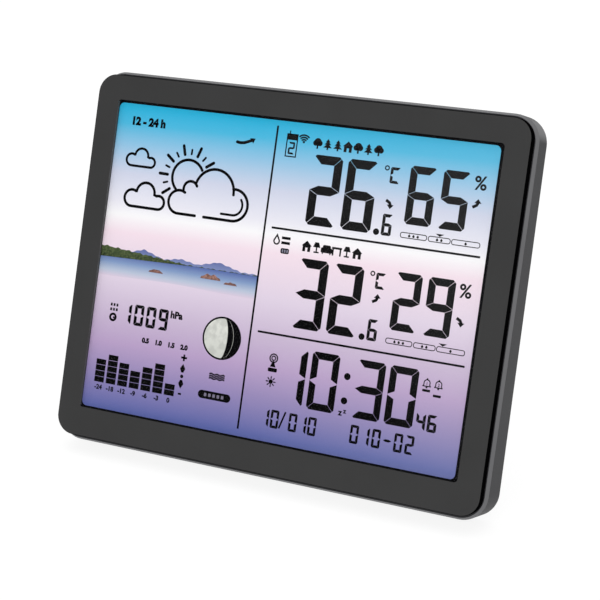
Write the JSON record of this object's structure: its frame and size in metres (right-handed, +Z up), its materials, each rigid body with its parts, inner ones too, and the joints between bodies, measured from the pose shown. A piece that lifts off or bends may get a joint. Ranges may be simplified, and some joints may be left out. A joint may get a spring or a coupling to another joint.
{
  "type": "home weather station console",
  "caption": "Leaning home weather station console with a bezelled colour display, a grey case, rear keys, a battery housing and a fold-out stand.",
  "frame": {"origin": "on the table under the middle of the console's bounding box, standing on its open stand", "axes": "+X to the right seen from the display side, +Y from the display towards the stand, +Z up"},
  "size_m": [0.1954, 0.0644, 0.1556],
  "materials": {
    "bezel_grey": "matte",
    "neck_black": "satin",
    "gasket_foam": "matte",
    "clear_pane": "polished",
    "lcd_glass": "backlit picture",
    "film": "printed",
    "clear_acrylic": "polished",
    "white_sheet": "matte",
    "flex": "satin",
    "case_grey": "fine texture",
    "cover_grey": "fine texture",
    "stand_grey": "satin",
    "key_plastic": "satin",
    "board_green": "solder mask",
    "part_black": "satin",
    "sensor_white": "matte",
    "radio_blue": "solder mask",
    "copper": "bright",
    "switch_metal": "satin",
    "cell_wrap": "satin",
    "contact_steel": "bright",
    "screw_steel": "satin",
    "rubber_black": "matte"
  },
  "bodies": {
    "console": {"front_bezel": "bezel_grey", "front_frame": "neck_black", "window_gasket": "gasket_foam", "display_window": "clear_pane", "lcd_panel": "lcd_glass", "color_film": "film", "light_guide": "clear_acrylic", "reflector_sheet": "white_sheet", "backlight_strip": "white_sheet", "display_chassis": "white_sheet", "display_flex": "flex", "case_shell": "case_grey", "rear_cover": "cover_grey", "main_board": "board_green", "processor_chip": "part_black", "buzzer": "part_black", "dc_jack": "part_black", "climate_sensor": "sensor_white", "radio_module": "radio_blue", "antenna_wire": "copper", "pressure_sensor": "switch_metal", "tact_switches": "switch_metal", "snooze_switch": "switch_metal", "battery_cell_lower": "cell_wrap", "battery_cell_middle": "cell_wrap", "battery_cell_upper": "cell_wrap", "battery_springs": "contact_steel", "battery_plates": "contact_steel", "cover_screws": "screw_steel", "board_screws": "screw_steel", "hinge_pin": "screw_steel", "base_feet": "rubber_black"},
    "stand": {"kickstand": "stand_grey", "stand_pad": "rubber_black"},
    "door": {"battery_door": "cover_grey"},
    "snooze": {"snooze_bar": "case_grey"},
    "mode_key": {"mode_key": "key_plastic"},
    "alarm_key": {"alarm_key": "key_plastic"},
    "channel_key": {"channel_key": "key_plastic"},
    "up_key": {"up_key": "key_plastic"},
    "down_key": {"down_key": "key_plastic"},
    "history_key": {"history_key": "key_plastic"}
  },
  "joints": [
    {"name": "stand_fold", "type": "hinge", "parent": "console", "child": "stand", "pos_m": [0, 0.01479, 0.05864], "axis": [-1, 0, 0], "range_deg": [0, 31.39]},
    {"name": "door_slide", "type": "slide", "parent": "console", "child": "door", "axis": [0, 0.2804, 0.9599], "range_m": [0, 0.008]},
    {"name": "snooze_press", "type": "slide", "parent": "console", "child": "snooze", "axis": [0, -0.3064, -0.9519], "range_m": [0, 0.0006], "stiffness_N_per_m": 1500, "springref_m": -0.0003},
    {"name": "mode_press", "type": "slide", "parent": "console", "child": "mode_key", "axis": [0, -0.9599, 0.2804], "range_m": [0, 0.0006], "stiffness_N_per_m": 1500, "springref_m": -0.0003},
    {"name": "alarm_press", "type": "slide", "parent": "console", "child": "alarm_key", "axis": [0, -0.9599, 0.2804], "range_m": [0, 0.0006], "stiffness_N_per_m": 1500, "springref_m": -0.0003},
    {"name": "channel_press", "type": "slide", "parent": "console", "child": "channel_key", "axis": [0, -0.9599, 0.2804], "range_m": [0, 0.0006], "stiffness_N_per_m": 1500, "springref_m": -0.0003},
    {"name": "up_press", "type": "slide", "parent": "console", "child": "up_key", "axis": [0, -0.9599, 0.2804], "range_m": [0, 0.0006], "stiffness_N_per_m": 1500, "springref_m": -0.0003},
    {"name": "down_press", "type": "slide", "parent": "console", "child": "down_key", "axis": [0, -0.9599, 0.2804], "range_m": [0, 0.0006], "stiffness_N_per_m": 1500, "springref_m": -0.0003},
    {"name": "history_press", "type": "slide", "parent": "console", "child": "history_key", "axis": [0, -0.9599, 0.2804], "range_m": [0, 0.0006], "stiffness_N_per_m": 1500, "springref_m": -0.0003}
  ]
}
